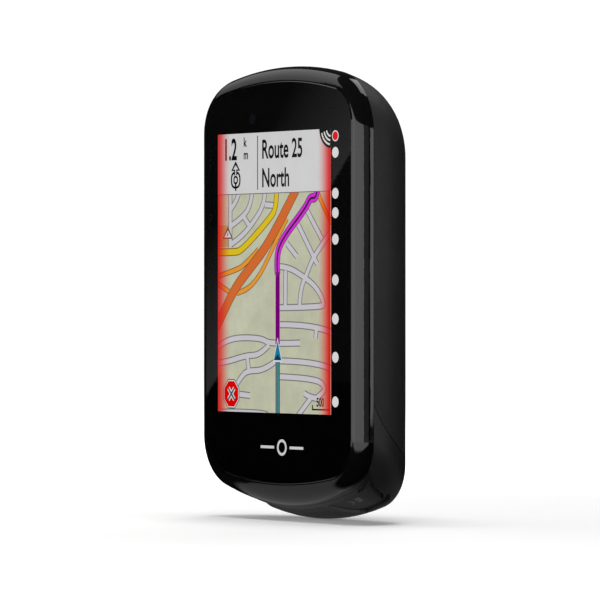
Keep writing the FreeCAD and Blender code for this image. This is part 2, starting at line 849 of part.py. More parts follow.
def battery_leads():
    """Two insulated wires from the battery's end to its plug on the board."""
    low = size("battery_middle") - size("battery_length") / 2
    wires = []
    for number, x in enumerate((-11.6, -10.4)):
        wires.append(rod("lead_%d" % number, "z", 0.35, low - 3.2, low, x=x, y=9.2))
    plug = block("lead_plug", (-12.6, -9.4), (board_back + 1.2, board_back + 2.6), (low - 5.4, low - 3.2))
    return join("battery_leads", wires + [plug])


def battery_socket():
    low = (size("battery_middle") - size("battery_length") / 2).value
    return on_board("battery_socket", (-12.8, -9.2), (low - 5.4, low - 2.6), 1.2)


def screws(name, head_radius, shank_radius, seat, spots, reach):
    """Cap screws with a six-sided drive socket, driven in from the back."""
    solids = []
    for number, (x, z) in enumerate(spots):
        head = rod("%s_head_%d" % (name, number), "y", head_radius, seat, seat + 1.0, x=x, z=z)
        shank = rod("%s_shank_%d" % (name, number), "y", shank_radius, seat - reach, seat, x=x, z=z)
        prism = doc.addObject("Part::Prism", "%s_drive_%d" % (name, number))
        prism.Polygon = 6
        prism.Placement = FreeCAD.Placement(V(0, 0, 0), ALONG["y"])
        bind(prism, "Circumradius", head_radius * 0.5)
        bind(prism, "Height", 2)
        place(prism, x, depth(seat + 0.4), z)
        solids.append(cut("%s_%d" % (name, number), join("%s_blank_%d" % (name, number), [head, shank]), prism))
    group = doc.addObject("Part::Compound", name)
    group.Links = solids
    return group


def case_screws():
    across = size("post_across")
    spots = [(across * side, z) for side in (-1, 1) for z in (size("post_upper"), -size("post_lower"))]
    return screws(
        "case_screws", size("screw_head_radius"), size("screw_radius"), size("screw_seat"), spots, 5.6,
    )


def board_screws():
    """Three small screws that clamp the board to the chassis plate."""
    seat = board_back
    short = size("pcb_thick") + (size("pcb_depth") - size("chassis_depth") - size("chassis_thick"))
    return screws("board_screws", length(1.1), length(0.5), seat, BOARD_SPOTS, short)


def board_spacers():
    """Spacers under the board screws, between the chassis plate and the board."""
    start = size("chassis_depth") + size("chassis_thick")
    rings = []
    for number, (x, z) in enumerate(BOARD_SPOTS):
        full = rod("spacer_full_%d" % number, "y", 1.2, start, size("pcb_depth"), x=x, z=z)
        bore = rod("spacer_bore_%d" % number, "y", 0.55, 0, 9, x=x, z=z)
        rings.append(cut("spacer_%d" % number, full, bore))
    group = doc.addObject("Part::Compound", "board_spacers")
    group.Links = rings
    return group


# ---------------------------------------------------------------- mount
def mount_insert():
    """Quarter-turn male half: a round boss with two opposite locking tabs."""
    seat = size("roll_start") + size("roll_depth") - 0.8
    end = size("mount_depth")
    flange = rod("mount_flange", "y", size("mount_seat_radius"), seat, seat + 1.2)
    boss = rod("mount_boss", "y", size("mount_radius"), seat, end)
    disc = rod("mount_disc", "y", size("mount_tab_radius"), end - size("mount_tab_thick"), end)
    half = size("mount_tab_width") / 2
    strip = block("mount_strip", (-half, half), (14, 22), (-20, 20))
    tabs = common("mount_tabs", disc, strip)
    pins = [rod("mount_pin_%d" % n, "y", 1.2, 13.75, seat + 0.2, x=x) for n, x in enumerate(PINS)]
    solid = join("mount_solid", [flange, boss, tabs] + pins)
    dish = rod("mount_dish", "y", size("mount_recess_radius"), end - 2.4, end + 1)
    return cut("mount_insert", solid, dish)


def vent_membrane():
    back = size("roll_start") + size("roll_depth") - size("wall")
    return rod("vent_membrane", "y", 2.4, back - 0.3, back, **VENT)


def finish_board(board):
    """Clearance holes for the board screws."""
    bores = [
        rod("board_bore_%d" % n, "y", 0.55, 5, 9, x=x, z=z)
        for n, (x, z) in enumerate(BOARD_SPOTS)
    ]
    return cut("main_pcb", board, *bores)


# ---------------------------------------------------------------- assembly
nodes = {
    "cover_glass": cover_glass(),
    "bonding_frame": bonding_frame(),
    "lcd_panel": lcd_panel(),
    "backlight_unit": backlight_unit(),
    "lcd_flex": lcd_flex(),
    "lcd_connector": lcd_connector(),
    "light_sensor": light_sensor(),
    "front_bezel": front_bezel(),
    "housing_seal": seal_ring("housing_seal", 0),
    "mid_frame": mid_frame(),
    "rear_cover": rear_cover(),
    "mount_insert": mount_insert(),
    "case_screws": case_screws(),
    "main_pcb": finish_board(main_board()),
    "board_screws": board_screws(),
    "board_spacers": board_spacers(),
    "processor_can": shield_can("processor_can", (-14.0, 2.0), (2.0, 20.0)),
    "radio_can": shield_can("radio_can", (4.0, 15.0), (4.0, 20.0)),
    "processor_chip": on_board("processor_chip", (-12.0, -2.0), (6.0, 16.0), 0.7),
    "memory_chip": on_board("memory_chip", (-8.0, 0.0), (-14.0, -4.0), 0.7),
    "radio_chip": on_board("radio_chip", (6.5, 12.5), (9.0, 15.0), 0.7),
    "barometer": on_board("barometer", (-6.6, -4.4), (-26.0, -23.8), 0.9),
    "gps_antenna": gps_antenna(),
    "wireless_antenna": on_board("wireless_antenna", (17.6, 19.4), (8.0, 15.0), 1.0),
    "buzzer": buzzer(),
    "usb_receptacle": usb_receptacle(),
    "battery": battery(),
    "battery_pad": battery_pad(),
    "battery_leads": battery_leads(),
    "battery_socket": battery_socket(),
    "vent_membrane": vent_membrane(),
    "cap_anchor": cap_anchor(),
    "weather_cap": weather_cap(),
    "power_button": power_button(),
    "power_plunger": power_plunger(),
    "power_switch": power_switch(),
    "power_seal": power_seal(),
    "start_stop_button": start_stop_button(),
    "start_stop_plunger": start_stop_plunger(),
    "start_stop_switch": start_stop_switch(),
    "start_stop_seal": start_stop_seal(),
}
for part_name in ("button", "plunger", "switch", "seal"):
    nodes["lap_" + part_name] = mirrored("lap_" + part_name, nodes["start_stop_" + part_name])

doc.recompute()
for node, piece in nodes.items():
    piece.Label = node

troubles = [o.Name for o in doc.Objects if "Invalid" in o.State or "Error" in o.State]
for node, piece in nodes.items():
    if piece.Shape.isNull() or not piece.Shape.isValid() or piece.Shape.Volume <= 0:
        troubles.append(node)
if troubles:
    raise RuntimeError("failed pieces: " + ", ".join(troubles))

os.makedirs("parts", exist_ok=True)
for node, piece in nodes.items():
    piece.Shape.exportStep("parts/%s.step" % node)
    bounds = piece.Shape.BoundBox
    print("%-20s solids %d volume %9.3f  x %.2f %.2f  y %.2f %.2f  z %.2f %.2f" % (
        node, len(piece.Shape.Solids), piece.Shape.Volume,
        bounds.XMin, bounds.XMax, bounds.YMin, bounds.YMax, bounds.ZMin, bounds.ZMax,
    ))
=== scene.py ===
"""Looks of the handlebar cycling computer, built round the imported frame. Lengths are in metres."""
import json
import math

import bmesh
import bpy
from mathutils import Matrix, Vector
from mathutils.bvhtree import BVHTree

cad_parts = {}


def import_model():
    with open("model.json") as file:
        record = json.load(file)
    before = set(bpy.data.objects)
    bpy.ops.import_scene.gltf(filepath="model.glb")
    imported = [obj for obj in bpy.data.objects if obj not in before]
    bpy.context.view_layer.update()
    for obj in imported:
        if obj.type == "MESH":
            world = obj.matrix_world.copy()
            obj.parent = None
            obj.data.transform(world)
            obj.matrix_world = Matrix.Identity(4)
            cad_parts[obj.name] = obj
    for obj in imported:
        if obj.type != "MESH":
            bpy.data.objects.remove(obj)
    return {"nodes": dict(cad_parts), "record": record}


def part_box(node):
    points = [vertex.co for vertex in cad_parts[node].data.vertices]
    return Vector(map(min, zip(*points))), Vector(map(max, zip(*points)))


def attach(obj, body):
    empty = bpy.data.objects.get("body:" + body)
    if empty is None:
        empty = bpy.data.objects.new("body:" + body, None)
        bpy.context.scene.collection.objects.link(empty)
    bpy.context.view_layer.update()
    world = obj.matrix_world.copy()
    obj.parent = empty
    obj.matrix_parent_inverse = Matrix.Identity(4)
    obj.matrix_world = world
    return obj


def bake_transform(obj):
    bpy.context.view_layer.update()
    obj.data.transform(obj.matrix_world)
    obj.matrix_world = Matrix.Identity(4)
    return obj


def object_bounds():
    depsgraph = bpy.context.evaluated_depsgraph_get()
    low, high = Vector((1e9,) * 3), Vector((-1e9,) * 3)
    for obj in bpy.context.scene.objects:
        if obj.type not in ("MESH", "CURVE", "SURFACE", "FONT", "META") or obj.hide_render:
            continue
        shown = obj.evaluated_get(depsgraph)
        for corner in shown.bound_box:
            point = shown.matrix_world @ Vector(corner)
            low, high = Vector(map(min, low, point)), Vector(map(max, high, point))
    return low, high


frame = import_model()
cad_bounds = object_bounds()

MM = 0.001
GLASS_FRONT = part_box("cover_glass")[0].y
GLASS_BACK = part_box("cover_glass")[1].y
PANEL_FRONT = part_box("lcd_panel")[0].y
FLOOR = cad_bounds[0].z - 0.15 * MM
scene = bpy.context.scene
scene.view_settings.view_transform = "Standard"


# ---------------------------------------------------------------- materials
NOISE_LOW, NOISE_HIGH = 0.3, 0.7


def linear(*rgb):
    """A display colour of 0 to 255 as linear light."""
    return tuple((c / 255) ** 2.2 for c in rgb)


class Shader:
    """A small helper round one material's node tree."""

    def __init__(self, name):
        self.material = bpy.data.materials.new(name)
        self.material.use_nodes = True
        self.tree = self.material.node_tree
        self.nodes = self.tree.nodes
        self.principled = self.nodes["Principled BSDF"]
        self.output = self.nodes["Material Output"]

    def add(self, kind, **settings):
        node = self.nodes.new(kind)
        for key, value in settings.items():
            if hasattr(node, key):
                setattr(node, key, value)
            else:
                node.inputs[key.replace("_", " ")].default_value = value
        return node

    def link(self, source, target):
        self.tree.links.new(source, target)

    def set(self, **values):
        for key, value in values.items():
            socket = self.principled.inputs[key.replace("_", " ")]
            socket.default_value = (*value, 1) if isinstance(value, tuple) else value

    def coordinates(self):
        return self.add("ShaderNodeTexCoord").outputs["Object"]

    def noise(self, scale, detail=4, roughness=0.6):
        node = self.add("ShaderNodeTexNoise", Scale=scale, Detail=detail, Roughness=roughness)
        self.link(self.coordinates(), node.inputs["Vector"])
        return node.outputs["Fac"]

    def cells(self, scale):
        node = self.add("ShaderNodeTexVoronoi", Scale=scale)
        self.link(self.coordinates(), node.inputs["Vector"])
        return node.outputs["Distance"]

    def spread(self, source, low, high):
        """Maps the middle of a noise's range to a range of values."""
        node = self.add("ShaderNodeMapRange")
        node.inputs["From Min"].default_value = NOISE_LOW
        node.inputs["From Max"].default_value = NOISE_HIGH
        node.inputs["To Min"].default_value = low
        node.inputs["To Max"].default_value = high
        self.link(source, node.inputs["Value"])
        return node.outputs["Result"]

    def tint(self, source, dark, light):
        ramp = self.add("ShaderNodeValToRGB")
        ramp.color_ramp.elements[0].position = NOISE_LOW
        ramp.color_ramp.elements[1].position = NOISE_HIGH
        ramp.color_ramp.elements[0].color = (*dark, 1)
        ramp.color_ramp.elements[1].color = (*light, 1)
        self.link(source, ramp.inputs["Fac"])
        self.link(ramp.outputs["Color"], self.principled.inputs["Base Color"])

    def rough(self, source, low, high):
        self.link(self.spread(source, low, high), self.principled.inputs["Roughness"])

    def bump(self, source, strength, distance):
        node = self.add("ShaderNodeBump", Strength=strength, Distance=distance)
        self.link(source, node.inputs["Height"])
        self.link(node.outputs["Normal"], self.principled.inputs["Normal"])


def plastic(name, dark, light, rough, grain_scale, grain_depth, cells=False):
    """Moulded plastic: a slight colour drift, uneven gloss and a fine grain."""
    shader = Shader(name)
    drift = shader.noise(60, 3)
    shader.tint(drift, dark, light)
    shader.rough(shader.noise(220, 4), rough - 0.04, rough + 0.04)
    grain = shader.cells(grain_scale) if cells else shader.noise(grain_scale, 3)
    shader.bump(grain, 0.35, grain_depth)
    shader.set(Specular_IOR_Level=0.5)
    return shader.material


def metal(name, colour, rough):
    """Bare metal with a faint brushed unevenness in its colour and gloss."""
    shader = Shader(name)
    brushed = shader.noise(900, 2)
    shader.tint(brushed, tuple(c * 0.85 for c in colour), colour)
    shader.rough(brushed, rough - 0.05, rough + 0.08)
    shader.bump(brushed, 0.15, 0.00001)
    shader.set(Metallic=1.0)
    return shader.material


def lit(name, rgb, mottle=0.0):
    """A lit area of the display: its colour is emitted, and its surface hardly reflects."""
    shader = Shader(name)
    colour = linear(*rgb)
    if mottle:
        ramp = shader.add("ShaderNodeValToRGB")
        ends = ((NOISE_LOW, 1 - mottle), (NOISE_HIGH, 1 + mottle))
        for element, (place, share) in zip(ramp.color_ramp.elements, ends):
            element.position = place
            element.color = (*(c * share for c in colour), 1)
        shader.link(shader.noise(260, 5, 0.7), ramp.inputs["Fac"])
        shader.link(ramp.outputs["Color"], shader.principled.inputs["Emission Color"])
    shader.set(
        Base_Color=(0.0, 0.0, 0.0), Emission_Color=colour, Emission_Strength=1.0,
        Roughness=0.6, Specular_IOR_Level=0.0,
    )
    return shader.material


def dead_black(name):
    """The unlit print and panel behind the glass, which swallow nearly all light."""
    shader = Shader(name)
    shader.tint(shader.noise(400, 2), (0.0012,) * 3, (0.0018,) * 3)
    shader.rough(shader.noise(900, 2), 0.75, 0.9)
    shader.set(Specular_IOR_Level=0.0)
    return shader.material


def clear_glass():
    """Clear from both sides; only its outer side mirrors, by Fresnel's law."""
    shader = Shader("cover_glass")
    fresnel = shader.add("ShaderNodeFresnel", IOR=1.5)
    side = shader.add("ShaderNodeNewGeometry")
    outside = shader.add("ShaderNodeMath", operation="SUBTRACT")
    outside.inputs[0].default_value = 1.0
    outer = shader.add("ShaderNodeMath", operation="MULTIPLY")
    clear = shader.add("ShaderNodeBsdfTransparent")
    clear.inputs["Color"].default_value = (0.97, 0.975, 0.97, 1)
    gloss = shader.add("ShaderNodeBsdfGlossy", Roughness=0.015)
    mix = shader.add("ShaderNodeMixShader")
    shader.link(side.outputs["Backfacing"], outside.inputs[1])
    shader.link(outside.outputs["Value"], outer.inputs[0])
    shader.link(fresnel.outputs["Fac"], outer.inputs[1])
    shader.link(outer.outputs["Value"], mix.inputs["Fac"])
    shader.link(clear.outputs["BSDF"], mix.inputs[1])
    shader.link(gloss.outputs["BSDF"], mix.inputs[2])
    shader.link(mix.outputs["Shader"], shader.output.inputs["Surface"])
    shader.nodes.remove(shader.principled)
    return shader.material


def glow(name, rgb, left, right, most):
    """A warning glow that is full at one edge of the picture and clear at the other."""
    shader = Shader(name)
    split = shader.add("ShaderNodeSeparateXYZ")
    shader.link(shader.coordinates(), split.inputs["Vector"])
    ramp = shader.add("ShaderNodeMapRange")
    ramp.interpolation_type = "SMOOTHSTEP"
    ramp.inputs["From Min"].default_value = left
    ramp.inputs["From Max"].default_value = right
    ramp.inputs["To Min"].default_value = most
    ramp.inputs["To Max"].default_value = 0.0
    shader.link(split.outputs["X"], ramp.inputs["Value"])
    colour = shader.add("ShaderNodeEmission")
    colour.inputs["Color"].default_value = (*linear(*rgb), 1)
    clear = shader.add("ShaderNodeBsdfTransparent")
    mix = shader.add("ShaderNodeMixShader")
    shader.link(ramp.outputs["Result"], mix.inputs["Fac"])
    shader.link(clear.outputs["BSDF"], mix.inputs[1])
    shader.link(colour.outputs["Emission"], mix.inputs[2])
    shader.link(mix.outputs["Shader"], shader.output.inputs["Surface"])
    shader.nodes.remove(shader.principled)
    return shader.material


BLACK_GLOSS = plastic("polished_black", (0.003,) * 3, (0.004,) * 3, 0.07, 500, 0.000001)
SATIN_BLACK = plastic("satin_black", (0.020,) * 3, (0.026,) * 3, 0.42, 2500, 0.00002)
GRAINED_BLACK = plastic("grained_black", (0.022,) * 3, (0.030,) * 3, 0.55, 5200, 0.00006, cells=True)
KEY_BLACK = plastic("key_black", (0.034,) * 3, (0.042,) * 3, 0.40, 3000, 0.00002)
RUBBER_BLACK = plastic("rubber_black", (0.022,) * 3, (0.028,) * 3, 0.48, 3500, 0.00003)
NYLON_BLACK = plastic("nylon_black", (0.018,) * 3, (0.028,) * 3, 0.5, 1800, 0.00004)
MATT_BLACK = dead_black("behind_glass")
DARK_CHIP = plastic("chip_black", (0.015,) * 3, (0.022,) * 3, 0.6, 1500, 0.00002)
SEAL_BLACK = plastic("seal_black", (0.02,) * 3, (0.028,) * 3, 0.6, 1500, 0.00002)

FINISHES = {
    "glass": clear_glass(),
    "mask": MATT_BLACK,
    "lcd": MATT_BLACK,
    "backlight": plastic("light_guide", (0.7,) * 3, (0.8,) * 3, 0.4, 900, 0.00001),
    "flex": plastic("ribbon", (0.30, 0.12, 0.02), (0.40, 0.17, 0.03), 0.4, 900, 0.00001),
    "connector": plastic("socket_ivory", (0.42, 0.40, 0.34), (0.5, 0.48, 0.42), 0.5, 900, 0.00001),
    "chip": DARK_CHIP,
    "bezel": BLACK_GLOSS,
    "seal": SEAL_BLACK,
    "frame": SATIN_BLACK,
    "housing": GRAINED_BLACK,
    "mount": NYLON_BLACK,
    "screw": metal("screw_steel", (0.30, 0.30, 0.32), 0.35),
    "board": plastic("board_green", (0.006, 0.07, 0.02), (0.012, 0.11, 0.035), 0.4, 700, 0.00003),
    "spacer": metal("turned_brass", (0.72, 0.52, 0.22), 0.3),
    "shield": metal("tinned_steel", (0.62, 0.62, 0.64), 0.35),
    "ceramic_tile": plastic("ceramic", (0.55, 0.5, 0.42), (0.65, 0.6, 0.52), 0.5, 900, 0.00001),
    "buzzer": DARK_CHIP,
    "battery_wrap": metal("pouch_foil", (0.5, 0.5, 0.52), 0.4),
    "foam": plastic("foam_grey", (0.04,) * 3, (0.07,) * 3, 0.95, 4000, 0.0001),
    "lead": plastic("wire_red", (0.35, 0.01, 0.01), (0.45, 0.02, 0.02), 0.35, 900, 0.00001),
    "membrane": plastic("membrane_white", (0.6,) * 3, (0.7,) * 3, 0.9, 3000, 0.00003),
    "cap": RUBBER_BLACK,
    "key": KEY_BLACK,
    "plunger": plastic("nylon_white", (0.5,) * 3, (0.58,) * 3, 0.5, 900, 0.00001),
    "switch": metal("switch_steel", (0.55, 0.55, 0.57), 0.35),
}


SHARP_ANGLE = math.radians(28)
FLAT_NORMAL = 0.99


def finish_nodes():
    """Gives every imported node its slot's finish, and smooth shading between its sharp edges."""
    slots = {row["node"]: row["material_slot"] for row in frame["record"]["subparts"]}
    for node, thing in frame["nodes"].items():
        thing.data.materials.clear()
        thing.data.materials.append(FINISHES[slots[node]])
        thing.data.shade_smooth()
        thing.data.set_sharp_from_angle(angle=SHARP_ANGLE)


def paint_glass_edge_shade():
    """Painted shade: the glass is made black round its chamfer and rim so that its edge reads dark, and it
    stays clear on the faces that look along Y.
    """
    glass = frame["nodes"]["cover_glass"].data
    glass.materials.append(BLACK_GLOSS)
    for face in glass.polygons:
        if abs(face.normal.y) < FLAT_NORMAL:
            # Painted shade: the edge faces get the black gloss.
            face.material_index = 1


finish_nodes()
paint_glass_edge_shade()


# ---------------------------------------------------------------- the picture on the screen
LAYER = 0.006 * MM
SIZE_PER_HEIGHT = 1.37
SPECK = 1e-7
ROUND_STEPS, RING_STEPS, BEND_STEPS = 32, 36, 6


def layer_depth(layer):
    """The place on the Y axis of a layer: a higher one lies nearer to the glass."""
    return PANEL_FRONT - (layer + 1) * LAYER


class Picture:
    """Flat shapes of the display, in millimetres, stacked in front of the panel."""

    def __init__(self):
        self.mesh = bmesh.new()
        self.materials = []

    def slot(self, material):
        if material not in self.materials:
            self.materials.append(material)
        return self.materials.index(material)

    def face(self, corners, layer, material):
        points = [self.mesh.verts.new((x * MM, layer_depth(layer), z * MM)) for x, z in corners]
        shape = self.mesh.faces.new(points)
        shape.normal_update()
        if shape.normal.y > 0:
            shape.normal_flip()
        shape.material_index = self.slot(material)

    def rect(self, x0, x1, z0, z1, layer, material):
        self.face([(x0, z0), (x1, z0), (x1, z1), (x0, z1)], layer, material)

    def disc(self, x, z, radius, layer, material):
        self.face(moved(circle(radius), x, z), layer, material)

    def band(self, x, z, radius, width, layer, material):
        """A round ring of even width."""
        for cell in arc(radius, width, 0, 360, ROUND_STEPS):
            self.face(moved(cell, x, z), layer, material)

    def ring(self, x, z, half_wide, half_high, width, layer, material):
        """A ring that is a little squarer than an ellipse."""
        turns = [2 * math.pi * k / RING_STEPS for k in range(RING_STEPS + 1)]
        for a, b in zip(turns, turns[1:]):
            cell = [
                ((half_wide - inset) * squared(math.cos(t)), (half_high - inset) * squared(math.sin(t)))
                for inset, t in ((width, a), (0, a), (0, b), (width, b))
            ]
            self.face(moved(cell, x, z), layer, material)

    def line(self, points, width, layer, material, smooth=True):
        """A strip of even width along a path, rounded if smooth, and cut off at the map's edges."""
        path = rounded(points) if smooth else points
        sides = []
        for index, point in enumerate(path):
            before = path[max(index - 1, 0)]
            after = path[min(index + 1, len(path) - 1)]
            along = Vector((after[0] - before[0], after[1] - before[1])).normalized()
            across = Vector((-along.y, along.x)) * width / 2
            sides.append((Vector(point) + across, Vector(point) - across))
        for (a, b), (c, d) in zip(sides, sides[1:]):
            corners = clipped([tuple(a), tuple(b), tuple(d), tuple(c)], MAP)
            if len(corners) > 2:
                self.face(corners, layer, material)

    def text(self, words, x, z, height, layer, material, squeeze, weight):
        """Plain lettering from x rightwards, its baseline at z; weight thickens its strokes."""
        curve = bpy.data.curves.new("words", "FONT")
        curve.body = words
        curve.size = height * SIZE_PER_HEIGHT
        curve.offset = weight
        curve.resolution_u = 4
        holder = bpy.data.objects.new("words", curve)
        flat = bpy.data.meshes.new_from_object(holder)
        made = bmesh.new()
        made.from_mesh(flat)
        for shape in made.faces:
            corners = [(x + v.co.x * squeeze, z + v.co.y) for v in shape.verts]
            if abs(area(corners)) > SPECK:
                self.face(corners, layer, material)
        made.free()
        bpy.data.objects.remove(holder)
        bpy.data.curves.remove(curve)
        bpy.data.meshes.remove(flat)

    def finish(self, name):
        data = bpy.data.meshes.new(name)
        self.mesh.to_mesh(data)
        self.mesh.free()
        for material in self.materials:
            data.materials.append(material)
        piece = bpy.data.objects.new(name, data)
        scene.collection.objects.link(piece)
        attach(piece, "housing")


def squared(value):
    """Bends a circle's cosine or sine towards a rounded rectangle's."""
    return math.copysign(abs(value) ** 0.8, value)


def circle(radius):
    turns = [math.radians(360.0 * k / ROUND_STEPS) for k in range(ROUND_STEPS)]
    return [(radius * math.cos(a), radius * math.sin(a)) for a in turns]


def moved(corners, x, z):
    return [(x + a, z + b) for a, b in corners]


def arc(radius, width, start, turn, steps=14):
    """The small quads of a curved stroke: its middle radius, width and span in degrees."""
    turns = [math.radians(start + turn * k / steps) for k in range(steps + 1)]
    inner, outer = radius - width / 2, radius + width / 2
    return [
        [(r * math.cos(t), r * math.sin(t)) for r, t in ((inner, a), (outer, a), (outer, b), (inner, b))]
        for a, b in zip(turns, turns[1:])
    ]


def area(corners):
    pairs = zip(corners, corners[1:] + corners[:1])
    return sum(a[0] * b[1] - b[0] * a[1] for a, b in pairs) / 2


def rounded(points):
    """A smooth path that starts and ends at the given points and bends near the others."""
    if len(points) < 3:
        return points
    middles = [
        ((a[0] + b[0]) / 2, (a[1] + b[1]) / 2) for a, b in zip(points[1:-1], points[2:-1])
    ]
    stops = [points[0]] + middles + [points[-1]]
    path = [points[0]]
    for start, bend, end in zip(stops, points[1:-1], stops[1:]):
        for i in range(1, BEND_STEPS + 1):
            t = i / BEND_STEPS
            path.append(tuple(
                (1 - t) ** 2 * start[k] + 2 * t * (1 - t) * bend[k] + t * t * end[k] for k in (0, 1)
            ))
    return path


def clipped(corners, box):
    """A convex shape cut off at the edges of a box."""
    x0, x1, z0, z1 = box
    for axis, limit, sign in ((0, x0, 1), (0, x1, -1), (1, z0, 1), (1, z1, -1)):
        kept = []
        for a, b in zip(corners, corners[1:] + corners[:1]):
            da, db = sign * (a[axis] - limit), sign * (b[axis] - limit)
            if da >= 0:
                kept.append(a)
            if da * db < 0:
                t = da / (da - db)
                kept.append((a[0] + t * (b[0] - a[0]), a[1] + t * (b[1] - a[1])))
        corners = kept
        if not corners:
            break
    return corners


MAP_LEFT, MAP_RIGHT, MAP_LOW, HEADER_LOW, MAP_TOP = -20.4, 14.75, -22.15, 18.15, 29.3
MAP = (MAP_LEFT, MAP_RIGHT, MAP_LOW, HEADER_LOW)
SCREEN = (MAP_LEFT, MAP_RIGHT, MAP_LOW, MAP_TOP)

LAND = lit("map_land", (194, 194, 170), mottle=0.09)
ROAD_EDGE = lit("map_road_edge", (118, 118, 116))
ROAD = lit("map_road", (202, 199, 206))
YELLOW = lit("map_yellow", (224, 192, 24))
YELLOW_EDGE = lit("map_yellow_edge", (112, 98, 40))
ORANGE = lit("map_orange", (214, 104, 42))
ORANGE_EDGE = lit("map_orange_edge", (128, 84, 48))
AMBER = lit("map_amber", (232, 150, 44))
ROUTE = lit("map_route", (112, 4, 112))
ROUTE_EDGE = lit("map_route_edge", (212, 36, 216))
ROUTE_CORE = lit("map_route_core", (44, 10, 44))
ROUTE_CASE = lit("map_route_case", (74, 8, 74))
TRAIL = lit("map_trail", (16, 158, 130))
ARROW = lit("map_arrow", (30, 122, 164))
ARROW_DARK = lit("map_arrow_dark", (10, 62, 92))
HEADER = lit("header_grey", (212, 212, 212), mottle=0.03)
INK = lit("header_ink", (14, 14, 16))
RULE = lit("header_rule", (90, 90, 92))
DEEP_RED = lit("sign_red", (222, 10, 12))
WHITE = lit("sign_white", (222, 222, 222))
TEAL_LINE = lit("sign_teal", (20, 100, 96))
GREY_SIGN = lit("sign_grey", (70, 92, 96))
SIGN_EDGE = lit("sign_edge", (96, 74, 66))
PARK = lit("map_park", (176, 166, 104))
OFF = dead_black("display_off")

STREETS = [
    [(-16.5, 18.2), (-16.5, 8.2)],
    [(-13.8, 18.2), (-14.6, 16.6), (-16.5, 15.3)],
    [(-9.6, 18.2), (-9.9, 16.2), (-12.4, 13.8), (-16.5, 12.2)],
    [(-5.6, 18.2), (-5.6, 16.0), (-10.2, 12.0), (-13.6, 9.9), (-16.5, 8.8)],
    [(-5.6, 16.0), (-2.3, 15.8)],
    [(-12.2, 13.9), (-10.2, 12.0)],
    [(1.3, 8.8), (4.4, 6.4)],
    [(4.8, 12.2), (9.4, 6.4), (10.6, 5.0)],
    [(7.5, 14.7), (12.0, 9.5)],
    [(15.0, 11.0), (9.4, 6.4), (7.4, 3.2), (5.4, 0.4), (5.2, -2.7)],
    [(-1.4, 4.6), (1.6, 4.6), (6.8, 2.6), (10.4, 0.8), (12.9, -2.2), (11.6, -2.8), (-1.4, -2.9)],
    [(0.9, 3.9), (0.8, -2.8)],
    [(-1.4, -6.0), (9.4, -5.9), (14.8, -7.3)],
    [(10.4, -6.1), (10.1, -8.4)],
    [(-20.6, -10.4), (-17.8, -8.5), (-6.6, -8.4), (-4.2, -9.6), (5.4, -9.3)],
    [(-4.2, -9.7), (-7.0, -11.6), (-11.4, -11.7), (-17.8, -13.0), (-20.6, -13.2)],
    [(-11.1, -11.8), (-10.6, -14.4)],
    [(-1.4, -12.6), (10.8, -12.6), (14.8, -13.9)],
    [(-1.8, -12.5), (-5.6, -14.4), (-11.0, -14.5), (-13.0, -15.6), (-15.2, -17.8)],
    [(-1.4, -15.5), (10.4, -15.6), (13.3, -17.4), (11.6, -18.6), (10.0, -19.4)],
    [(6.6, -18.4), (8.6, -19.3), (11.4, -19.3)],
    [(8.6, -19.3), (4.6, -22.6)],
    [(-13.6, -18.9), (-10.2, -19.1)],
    [(-19.6, -22.3), (-6.4, -22.0), (-4.6, -22.6)],
]
HIGHWAY = [(4.2, 18.6), (-3.6, 9.4), (-10.2, 4.4), (-14.8, 0.9), (-18.6, -3.6), (-20.9, -6.6)]
YELLOW_ROAD = [(-1.9, 18.6), (-1.9, 15.4), (-4.0, 13.4), (-12.9, 7.6), (-15.4, 7.4), (-20.8, 7.4)]
RAMPS = [
    [(1.4, 13.4), (-1.4, 10.2), (-4.6, 6.0), (-7.4, 2.8), (-11.2, 0.3), (-14.4, -0.2)],
    [(-7.6, 7.8), (-12.0, 4.9), (-15.0, 4.0), (-20.8, 2.9)],
    [(-20.8, 1.7), (-16.0, -0.3)],
    [(10.8, 17.9), (12.8, 14.6), (15.2, 12.2)],
]
ROUTE_BEND = [(10.6, 18.6), (10.4, 16.8), (8.5, 17.1), (7.2, 15.2), (-0.6, 9.3), (-1.9, 6.0), (-1.55, 3.2)]
ROUTE_X = -1.5
DOTS_X = 16.05

# Where the sheets of the header, of the warning glow and of the corner sign lie over the map's.
HEADER_SHEET, HEADER_PRINT, HEADER_OVER = 10.8, 11.2, 11.6
GLOW_SHEET = 12.1
CORNER_SHEET, CORNER_PRINT = 12.4, 12.8
GLOW_WIDTH = 4.3


def cased(picture, paths, width, edge, layer, fill, outline):
    """Roads with a thin darker casing, the casings all under the fills."""
    for path in paths:
        picture.line(path, width + 2 * edge, layer, outline)
    for path in paths:
        picture.line(path, width, layer + 1, fill)


